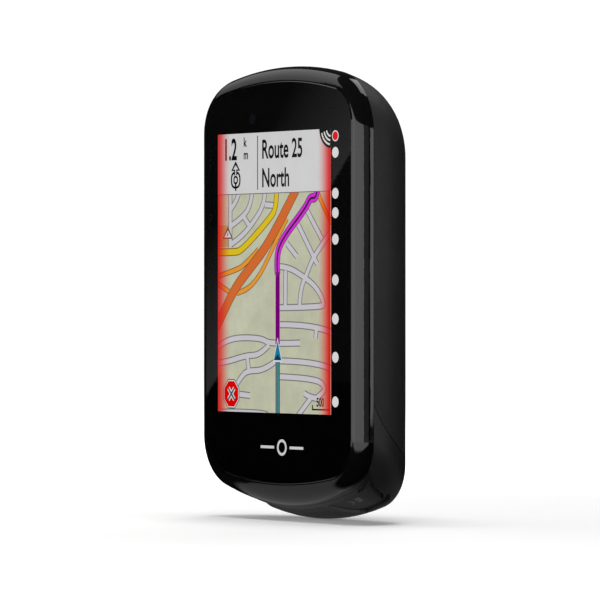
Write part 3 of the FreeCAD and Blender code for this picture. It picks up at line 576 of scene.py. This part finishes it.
def draw_map(picture):
    """The land, its roads, the route in two straight parts and a bend, and the rider's arrow."""
    picture.rect(*MAP, 0, LAND)
    picture.rect(MAP_LEFT, -16.9, 8.4, 12.4, 0.5, PARK)
    cased(picture, STREETS, 0.9, 0.2, 1, ROAD, ROAD_EDGE)
    cased(picture, RAMPS, 0.75, 0.16, 3, AMBER, ORANGE_EDGE)
    cased(picture, [YELLOW_ROAD], 1.1, 0.18, 3, YELLOW, YELLOW_EDGE)
    cased(picture, [HIGHWAY], 1.85, 0.18, 5, ORANGE, ORANGE_EDGE)
    picture.line(ROUTE_BEND, 1.75, 7, ROUTE_CASE)
    picture.line(ROUTE_BEND, 1.45, 7.4, ROUTE_EDGE)
    picture.line(ROUTE_BEND, 0.42, 7.8, ROUTE_CORE)
    straight = [(ROUTE_X, 3.6), (ROUTE_X, -9.6)]
    picture.line(straight, 1.4, 8, ROUTE_EDGE, smooth=False)
    picture.line(straight, 1.1, 9, ROUTE, smooth=False)
    trail = [(ROUTE_X, -12.7), (ROUTE_X, MAP_LOW)]
    picture.line(trail, 1.4, 7, ROUTE_EDGE, smooth=False)
    picture.line(trail, 1.15, 8, ROUTE, smooth=False)
    picture.line(trail, 0.7, 9, TRAIL, smooth=False)
    tip, low, half = -8.9, -12.5, 1.15
    draw_arrow(picture, tip + 0.6, low - 0.3, half + 0.25, 9.4, WHITE)
    draw_arrow(picture, tip, low, half, 10, ARROW)
    draw_arrow(picture, low + 1.1, low, half, 10.4, ARROW_DARK)


def draw_arrow(picture, tip, low, half, layer, material):
    """A triangle on the route: its base lies at low and reaches half to either side."""
    picture.face([(ROUTE_X, tip), (ROUTE_X - half, low), (ROUTE_X + half, low)], layer, material)


def draw_signs(picture):
    """The eight-sided close sign, a small warning triangle and the map's scale bar."""
    centre_x, centre_z = -16.1, -18.85
    squash = 0.93
    for scale, layer, material in ((2.95, 8, TEAL_LINE), (2.75, 8.4, WHITE), (2.55, 8.8, DEEP_RED)):
        corners = [
            (centre_x + squash * scale * math.cos(a), centre_z + scale * math.sin(a))
            for a in (math.radians(22.5 + 45 * k) for k in range(8))
        ]
        picture.face(corners, layer, material)
    for slope in (-1, 1):
        arm = [(centre_x - 0.95, centre_z - 1.05 * slope), (centre_x + 0.95, centre_z + 1.05 * slope)]
        picture.line(arm, 0.85, 9.2, WHITE, smooth=False)
        picture.line(arm, 0.4, 9.6, GREY_SIGN, smooth=False)
    picture.face([(-17.2, 12.2), (-18.9, 9.9), (-15.6, 9.9)], 8, SIGN_EDGE)
    picture.face([(-17.2, 11.5), (-18.4, 10.15), (-16.1, 10.15)], 8.4, WHITE)
    picture.rect(-17.35, -17.1, 10.35, 11.05, 8.8, INK)
    picture.line([(9.2, -20.5), (9.2, -21.4)], 0.3, 8, INK, smooth=False)
    picture.line([(9.05, -21.3), (14.3, -21.3)], 0.28, 8, INK, smooth=False)
    picture.text("500", 10.4, -20.7, 1.6, 8, INK, squeeze=0.7, weight=0.06)


def draw_header(picture):
    """Two fields over the map: how far it is to the next turn, and which road and way that is."""
    picture.rect(MAP_LEFT, MAP_RIGHT, HEADER_LOW, MAP_TOP, HEADER_SHEET, HEADER)
    picture.rect(MAP_LEFT, MAP_RIGHT, HEADER_LOW - 0.12, HEADER_LOW + 0.02, HEADER_PRINT, RULE)
    picture.rect(-7.9, -7.62, 18.8, 28.75, HEADER_PRINT, RULE)
    picture.text("1.2", -18.7, 24.55, 4.0, HEADER_PRINT, INK, squeeze=0.66, weight=0.14)
    picture.text("k", -12.2, 26.85, 1.75, HEADER_PRINT, INK, squeeze=0.8, weight=0.06)
    picture.text("m", -12.2, 24.55, 1.75, HEADER_PRINT, INK, squeeze=0.8, weight=0.06)
    picture.text("Route 25", -6.5, 24.55, 3.55, HEADER_PRINT, INK, squeeze=0.7, weight=0.1)
    picture.text("North", -6.5, 19.3, 3.55, HEADER_PRINT, INK, squeeze=0.7, weight=0.1)
    draw_turn_sign(picture)


def draw_turn_sign(picture):
    """An arrow that points up out of a ring."""
    across = -14.7
    picture.ring(across, 20.75, 1.55, 1.6, 0.4, HEADER_PRINT, INK)
    picture.ring(across, 20.75, 0.72, 0.78, 0.36, HEADER_PRINT, INK)
    picture.rect(across - 0.22, across + 0.22, 18.75, 20.0, HEADER_OVER, INK)
    picture.face([(across, 24.25), (across - 1.4, 22.45), (across + 1.4, 22.45)], HEADER_PRINT, INK)
    picture.face([(across, 23.5), (across - 0.8, 22.7), (across + 0.8, 22.7)], HEADER_OVER, HEADER)
    picture.rect(across - 0.5, across + 0.5, 21.6, 22.5, HEADER_PRINT, INK)
    picture.rect(across - 0.17, across + 0.17, 21.6, 22.9, HEADER_OVER, HEADER)


def draw_corner_sign(picture):
    """Three pale arcs on a black quarter circle, in the picture's upper right corner."""
    corner_x, corner_z = 14.9, 29.4
    steps = 15
    turns = [math.radians(180 + 90 * k / steps) for k in range(steps + 1)]
    edge = [(3.6 * math.cos(a), 3.6 * math.sin(a)) for a in turns]
    picture.face(clipped(moved(edge + [(0, 0)], corner_x, corner_z), SCREEN), CORNER_SHEET, OFF)
    for radius in (2.95, 2.2, 1.45):
        for cell in arc(radius, 0.34, 196, 66, steps):
            corners = clipped(moved(cell, corner_x, corner_z), SCREEN)
            if len(corners) > 2:
                picture.face(corners, CORNER_PRINT, WHITE)


def draw_radar(picture):
    """The strip beside the map: one red marker and a column of pale dots."""
    picture.rect(MAP_RIGHT, 20.3, MAP_LOW, MAP_TOP, 0, OFF)
    picture.disc(DOTS_X, 27.97, 1.0, 2, WHITE)
    picture.disc(DOTS_X, 27.97, 0.8, 3, DEEP_RED)
    for z in (25.0, 17.65, 14.15, 9.4, 2.1, -4.9, -11.8, -19.8):
        picture.disc(DOTS_X, z, 0.98, 2, WHITE)


def draw_picture():
    """The whole display, with a red warning glow down both sides of the map."""
    picture = Picture()
    draw_map(picture)
    draw_signs(picture)
    draw_header(picture)
    draw_corner_sign(picture)
    draw_radar(picture)
    left = glow("glow_left", (214, 20, 20), (MAP_LEFT + 0.3) * MM, (MAP_LEFT + 4.2) * MM, 0.94)
    right = glow("glow_right", (218, 14, 14), (MAP_RIGHT - 0.2) * MM, (MAP_RIGHT - 4.2) * MM, 0.98)
    picture.rect(MAP_LEFT, MAP_LEFT + GLOW_WIDTH, MAP_LOW, MAP_TOP, GLOW_SHEET, left)
    picture.rect(MAP_RIGHT - GLOW_WIDTH, MAP_RIGHT, MAP_LOW, MAP_TOP, GLOW_SHEET, right)
    picture.finish("screen_picture")


def draw_prints():
    """Plain marks printed on the back of the glass, and the light sensor's window, both drawn glowing:
    their colour is emitted, which is painted light.
    """
    picture = Picture()
    # Painted light: the white print and the dark sensor window glow with their colour instead of
    # reflecting the lamps.
    mark = lit("glowing_print_white", (205, 205, 205))
    glowing_window = lit("glowing_sensor_window", (20, 21, 25))
    level = (PANEL_FRONT - GLASS_BACK) / LAYER
    base = -28.4
    picture.band(0, base, 1.25, 0.5, level, mark)
    for side in (-1, 1):
        picture.rect(*sorted((side * 2.4, side * 6.6)), base - 0.25, base + 0.25, level, mark)
    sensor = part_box("light_sensor")
    x, z = ((sensor[0][k] + sensor[1][k]) / 2 / MM for k in (0, 2))
    picture.disc(x, z, 0.95, level, glowing_window)
    picture.finish("glass_print")


# ---------------------------------------------------------------- signs on the keys
MARK_LIFT = 0.02 * MM
MARK_OUTWARD = 0.4 * MM
MARK_BEHIND_GLASS = 2.1 * MM
START_CLEAR = 5 * MM


def surface_mark(name, node, body, shapes, middle, look, across, along, material):
    """A flat mark carried along look onto a curved key, so that it follows the key's surface."""
    mesh = frame["nodes"][node].data
    tree = BVHTree.FromPolygons([v.co for v in mesh.vertices], [p.vertices for p in mesh.polygons])
    made = bmesh.new()
    for corners in shapes:
        points = []
        for a, b in corners:
            start = middle + across * a * MM + along * b * MM
            hit = tree.ray_cast(start, look)[0]
            points.append(made.verts.new(hit - look * MARK_LIFT))
        made.faces.new(points)
    data = bpy.data.meshes.new(name)
    made.to_mesh(data)
    made.free()
    data.materials.append(material)
    piece = bpy.data.objects.new(name, data)
    scene.collection.objects.link(piece)
    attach(piece, body)


def key_marks():
    """Usual signs: start and stop, a lap's circle, and power."""
    paint = plastic("mark_grey", (0.16,) * 3, (0.2,) * 3, 0.5, 900, 0.000005)
    x_axis, y_axis, z_axis = Vector((1, 0, 0)), Vector((0, 1, 0)), Vector((0, 0, 1))
    start_stop = [
        [(-1.5, -0.8), (-0.1, 0.0), (-1.5, 0.8)],
        [(0.35, -0.65), (1.65, -0.65), (1.65, 0.65), (0.35, 0.65)],
    ]
    lap = arc(0.85, 0.28, 40, 280) + [[(0.2, 0.75), (1.25, 0.9), (0.95, -0.1)]]
    power = arc(1.0, 0.28, 120, 300) + [[(-0.14, 0.25), (0.14, 0.25), (0.14, 1.45), (-0.14, 1.45)]]
    for name, node, body, side, shapes in (
        ("start_stop_mark", "start_stop_button", "start_stop_key", 1, start_stop),
        ("lap_mark", "lap_button", "lap_key", -1, lap),
    ):
        low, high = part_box(node)
        across = (low.x + high.x) / 2 + side * MARK_OUTWARD
        middle = Vector((across, low.y + MARK_BEHIND_GLASS, low.z - START_CLEAR))
        surface_mark(name, node, body, shapes, middle, z_axis, x_axis, -y_axis, paint)
    low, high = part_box("power_button")
    middle = Vector((low.x - START_CLEAR, (low.y + high.y) / 2, (low.z + high.z) / 2))
    surface_mark(
        "power_mark", "power_button", "power_key", power, middle, x_axis, -y_axis, z_axis, paint,
    )


draw_picture()
draw_prints()
key_marks()


# ---------------------------------------------------------------- the port cap's strap
CAP_GAP = 0.2 * MM
STRAP_HALF_WIDTH = 4.2 * MM
STRAP_TOP, STRAP_LOW = -40.15 * MM, -41.25 * MM
STRAP_STEPS = 12


def cap_strap():
    """The rubber web that joins the port cap to the housing."""
    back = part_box("weather_cap")[1][1]
    wall = back + CAP_GAP
    made = bmesh.new()
    rings = []
    for step in range(STRAP_STEPS + 1):
        y = wall + (back - wall) * step / STRAP_STEPS
        corners = [(-1, STRAP_LOW), (1, STRAP_LOW), (1, STRAP_TOP), (-1, STRAP_TOP)]
        rings.append([made.verts.new((side * STRAP_HALF_WIDTH, y, z)) for side, z in corners])
    for near, far in zip(rings, rings[1:]):
        for k in range(4):
            made.faces.new((near[k], near[k - 3], far[k - 3], far[k]))
    made.faces.new(rings[0])
    made.faces.new(rings[-1])
    bmesh.ops.recalc_face_normals(made, faces=made.faces)
    mesh = bpy.data.meshes.new("cap_strap")
    made.to_mesh(mesh)
    made.free()
    mesh.materials.append(RUBBER_BLACK)
    strap = bpy.data.objects.new("cap_strap", mesh)
    scene.collection.objects.link(strap)
    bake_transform(strap)


cap_strap()


# ---------------------------------------------------------------- stage, lights and camera
FLOOR_RADIUS = 1.5
DIM_WITHIN, WHITE_BEYOND = 0.09, 0.30
DIM_FLOOR, WHITE_FLOOR = 0.18, 1.02

# The strip of glow under the object: its strength, its two slanting edges and its two ends.
SIDE_BOUNCE = 0.42
SIDE_RIGHT_EDGE = (0.012, 0.018)
SIDE_LEFT_EDGE, SIDE_LEFT_SLOPE = (-0.025, -0.020), 0.94
SIDE_BACK_END, SIDE_BACK_SHARE = (0.003, 0.006), 0.3
SIDE_FRONT_END = (-0.060, -0.030)

# The patch of glow in front of the screen: its strength, its two edges and how far it goes.
FRONT_BOUNCE = 1.6
FRONT_NEAR_EDGE, FRONT_NEAR_SLOPE = (-0.0375, -0.0345), 0.29
FRONT_LEFT_EDGE, FRONT_LEFT_SLOPE = (0.068, 0.088), 0.9
FRONT_REACH = (0.31, 0.33)


def between(shader, source, low, high, first, last):
    """Goes smoothly from first to last as the source goes from low to high."""
    node = shader.add("ShaderNodeMapRange")
    node.interpolation_type = "SMOOTHSTEP"
    for name, value in (("From Min", low), ("From Max", high), ("To Min", first), ("To Max", last)):
        node.inputs[name].default_value = value
    shader.link(source, node.inputs["Value"])
    return node.outputs["Result"]


def plus(shader, one, other, sign=1.0):
    """One plus sign times the other, which may be a socket or a number."""
    node = shader.add("ShaderNodeMath", operation="MULTIPLY_ADD")
    node.inputs[1].default_value = sign
    shader.link(one, node.inputs[2])
    if isinstance(other, float):
        node.inputs[0].default_value = other
    else:
        shader.link(other, node.inputs[0])
    return node.outputs["Value"]


def times(shader, one, other):
    """The product of two sockets."""
    node = shader.add("ShaderNodeMath", operation="MULTIPLY")
    shader.link(one, node.inputs[0])
    shader.link(other, node.inputs[1])
    return node.outputs["Value"]


def side_patch(shader, across, behind):
    """A strip that runs slantwise under the object, and is weaker behind the glass's plane."""
    slant = plus(shader, across, behind, sign=-1)
    glow = between(shader, slant, *SIDE_RIGHT_EDGE, SIDE_BOUNCE, 0.0)
    left = plus(shader, across, behind, sign=-SIDE_LEFT_SLOPE)
    glow = times(shader, glow, between(shader, left, *SIDE_LEFT_EDGE, 0.0, 1.0))
    glow = times(shader, glow, between(shader, behind, *SIDE_BACK_END, 1.0, SIDE_BACK_SHARE))
    return times(shader, glow, between(shader, behind, *SIDE_FRONT_END, 0.0, 1.0))


def front_patch(shader, across, behind, distance):
    """A patch in front of the screen and to its right."""
    edge = plus(shader, behind, across, sign=-FRONT_NEAR_SLOPE)
    glow = between(shader, edge, *FRONT_NEAR_EDGE, FRONT_BOUNCE, 0.0)
    left = plus(shader, across, behind, sign=-FRONT_LEFT_SLOPE)
    glow = times(shader, glow, between(shader, left, *FRONT_LEFT_EDGE, 0.0, 1.0))
    return times(shader, glow, between(shader, distance, *FRONT_REACH, 1.0, 0.0))


def floor_white():
    """The camera sees a floor that gets whiter away from the object; other rays see two patches."""
    shader = Shader("floor_white")
    shader.tint(shader.noise(8, 2), (0.88,) * 3, (0.9,) * 3)
    shader.set(Roughness=0.9, Specular_IOR_Level=0.0, Emission_Color=(1.0, 1.0, 1.0))
    place = shader.add("ShaderNodeSeparateXYZ")
    shader.link(shader.coordinates(), place.inputs["Vector"])
    length = shader.add("ShaderNodeVectorMath", operation="LENGTH")
    shader.link(shader.coordinates(), length.inputs[0])
    distance = length.outputs["Value"]
    white = between(shader, distance, DIM_WITHIN, WHITE_BEYOND, DIM_FLOOR, WHITE_FLOOR)
    shader.link(white, shader.principled.inputs["Emission Strength"])
    across = place.outputs["X"]
    behind = plus(shader, place.outputs["Y"], -GLASS_FRONT)
    side = side_patch(shader, across, behind)
    front = front_patch(shader, across, behind, distance)
    bounce = shader.add("ShaderNodeEmission")
    shader.link(plus(shader, side, front), bounce.inputs["Strength"])
    path = shader.add("ShaderNodeLightPath")
    mix = shader.add("ShaderNodeMixShader")
    shader.link(path.outputs["Is Camera Ray"], mix.inputs["Fac"])
    shader.link(bounce.outputs["Emission"], mix.inputs[1])
    shader.link(shader.principled.outputs["BSDF"], mix.inputs[2])
    shader.link(mix.outputs["Shader"], shader.output.inputs["Surface"])
    return shader.material


def floor():
    mesh = bpy.data.meshes.new("floor")
    made = bmesh.new()
    bmesh.ops.create_circle(made, cap_ends=True, segments=96, radius=FLOOR_RADIUS)
    made.to_mesh(mesh)
    made.free()
    thing = bpy.data.objects.new("floor", mesh)
    thing.location = (0, 0, FLOOR)
    scene.collection.objects.link(thing)
    thing.data.materials.append(floor_white())


def softbox(name, centre, target, width, height, radiance, roll=0.0, gloss=True, fade=0.0, diffuse=True):
    """A rectangular studio light that faces its target, and may fade along its height."""
    data = bpy.data.lights.new(name, "AREA")
    data.shape = "RECTANGLE"
    data.size, data.size_y = width, height
    data.energy = radiance * width * height * math.pi
    if fade:
        faded(data, fade)
    lamp = bpy.data.objects.new(name, data)
    aim = Vector(target) - Vector(centre)
    turn = aim.to_track_quat("-Z", "Y").to_matrix().to_4x4()
    lamp.matrix_world = Matrix.Translation(centre) @ turn @ Matrix.Rotation(math.radians(roll), 4, "Z")
    lamp.visible_camera = False
    lamp.visible_glossy = gloss
    lamp.visible_diffuse = diffuse
    scene.collection.objects.link(lamp)
    return lamp


def faded(data, fade):
    """Makes a light weaker towards its top edge, or towards its bottom edge if fade is under 0."""
    data.use_nodes = True
    tree = data.node_tree
    place = tree.nodes.new("ShaderNodeNewGeometry")
    split = tree.nodes.new("ShaderNodeSeparateXYZ")
    level = tree.nodes.new("ShaderNodeMapRange")
    ends = (1.0, 1.0 - fade) if fade > 0 else (1.0 + fade, 1.0)
    level.inputs["To Min"].default_value, level.inputs["To Max"].default_value = ends
    tree.links.new(place.outputs["Parametric"], split.inputs["Vector"])
    tree.links.new(split.outputs["Y"], level.inputs["Value"])
    tree.links.new(level.outputs["Result"], tree.nodes["Emission"].inputs["Strength"])


VIEW_ANGLE = math.radians(54)
VIEW_RIGHT = Vector((math.cos(VIEW_ANGLE), math.sin(VIEW_ANGLE), 0))
VIEW_AHEAD = Vector((-math.sin(VIEW_ANGLE), math.cos(VIEW_ANGLE), 0))
VIEW_DISTANCE = 0.79
VIEW_CENTRE = Vector((0, GLASS_FRONT, -2.95 * MM))
AIM_RIGHT, AIM_UP = 4.2 * MM, 1.46 * MM
LENS, SENSOR = 260.0, 36.0

# Where the sheen's edge crosses the glass, in millimetres, and the card that makes it.
SHEEN_EDGE = [(-20.4, -17.3), (21.9, 24.3)]
SHEEN_REACH = 1.75
SHEEN_DEPTH = 0.026
SHEEN_OVERHANG = 1.5
SHEEN_RADIANCE = 0.35

# The near lamps level with the object, which its sides mirror.
GLASS_MIDDLE = Vector((0, GLASS_FRONT, 0))
BELT_DISTANCE, BELT_WIDTH, BELT_HEIGHT = 0.28, 0.14, 0.15

WORLD_DIM, WORLD_WHITE = 0.03, 1.05


def polar(azimuth, elevation, distance):
    """A place seen from the object: azimuth 0 is in front of the screen and 90 to its right."""
    a, e = math.radians(azimuth), math.radians(elevation)
    return Vector((math.sin(a) * math.cos(e), -math.cos(a) * math.cos(e), math.sin(e))) * distance


def sheen_card():
    """The faint card that the glass mirrors: its straight edge crosses the screen slantwise."""
    eye = camera_place()
    mirrored = Vector((eye.x, 2 * GLASS_FRONT - eye.y, eye.z))
    low, high = (Vector((x * MM, GLASS_FRONT, z * MM)) for x, z in SHEEN_EDGE)
    start, end = (mirrored + (point - mirrored) * SHEEN_REACH for point in (low, high))
    along = (end - start).normalized()
    back = (low + high) / 2 - (start + end) / 2
    across = along.cross(back).normalized()
    across = across if across.z > 0 else -across
    length = (end - start).length * SHEEN_OVERHANG
    centre = (start + end) / 2 + across * SHEEN_DEPTH / 2
    lamp = softbox("sheen_card", centre, centre + back, length, SHEEN_DEPTH, SHEEN_RADIANCE, fade=1.0)
    turn = Matrix((along, across, along.cross(across))).transposed()
    if turn.col[2].dot(back) > 0:
        turn = Matrix((-along, across, -along.cross(across))).transposed()
    lamp.matrix_world = Matrix.Translation(centre) @ turn.to_4x4()


def belt_lamp(name, azimuth, radiance):
    place = polar(azimuth, 0, BELT_DISTANCE) + GLASS_MIDDLE
    softbox(name, place, GLASS_MIDDLE, BELT_WIDTH, BELT_HEIGHT, radiance)


def lights():
    for azimuth in (-28, 0, 28, 56):
        belt_lamp("belt_%d" % (azimuth + 100), azimuth, radiance=1.9)
    belt_lamp("side_glow", 84, radiance=0.28)
    softbox("top_card", polar(-70, 36, 0.7), GLASS_MIDDLE, 0.71, 0.45, radiance=1.3, roll=-28, fade=-0.55)
    softbox("overhead", (0, 0, 0.9), (0, 0, 0), 0.45, 0.45, radiance=8.5, gloss=False)
    softbox("rear_right", polar(118, -4, 0.7), (0, 0, 0), 0.30, 0.34, radiance=2.0, diffuse=False)
    softbox("rear_left", polar(-140, 42, 0.8), (0, 0, 0), 0.5, 0.4, radiance=2.5, gloss=False)
    softbox("rear_high", polar(180, 58, 0.8), (0, 0, 0), 0.5, 0.4, radiance=2.6, diffuse=False)
    sheen_card()


def camera_place():
    return VIEW_CENTRE - VIEW_AHEAD * VIEW_DISTANCE


def camera():
    data = bpy.data.cameras.new("camera")
    data.lens = LENS
    data.sensor_width = SENSOR
    data.clip_start = 0.01
    thing = bpy.data.objects.new("camera", data)
    place = camera_place()
    aim = VIEW_CENTRE + VIEW_RIGHT * AIM_RIGHT + Vector((0, 0, AIM_UP))
    thing.location = place
    thing.rotation_euler = (aim - place).to_track_quat("-Z", "Y").to_euler()
    scene.collection.objects.link(thing)
    scene.camera = thing


def world():
    """White behind the object and dim round it, so that only the softboxes show in its gloss."""
    made = bpy.data.worlds.new("studio")
    made.use_nodes = True
    tree = made.node_tree
    background = tree.nodes["Background"]
    path = tree.nodes.new("ShaderNodeLightPath")
    level = tree.nodes.new("ShaderNodeMapRange")
    level.inputs["To Min"].default_value = WORLD_DIM
    level.inputs["To Max"].default_value = WORLD_WHITE
    tree.links.new(path.outputs["Is Camera Ray"], level.inputs["Value"])
    tree.links.new(level.outputs["Result"], background.inputs["Strength"])
    background.inputs["Color"].default_value = (1, 1, 1, 1)
    scene.world = made


floor()
lights()
camera()
world()
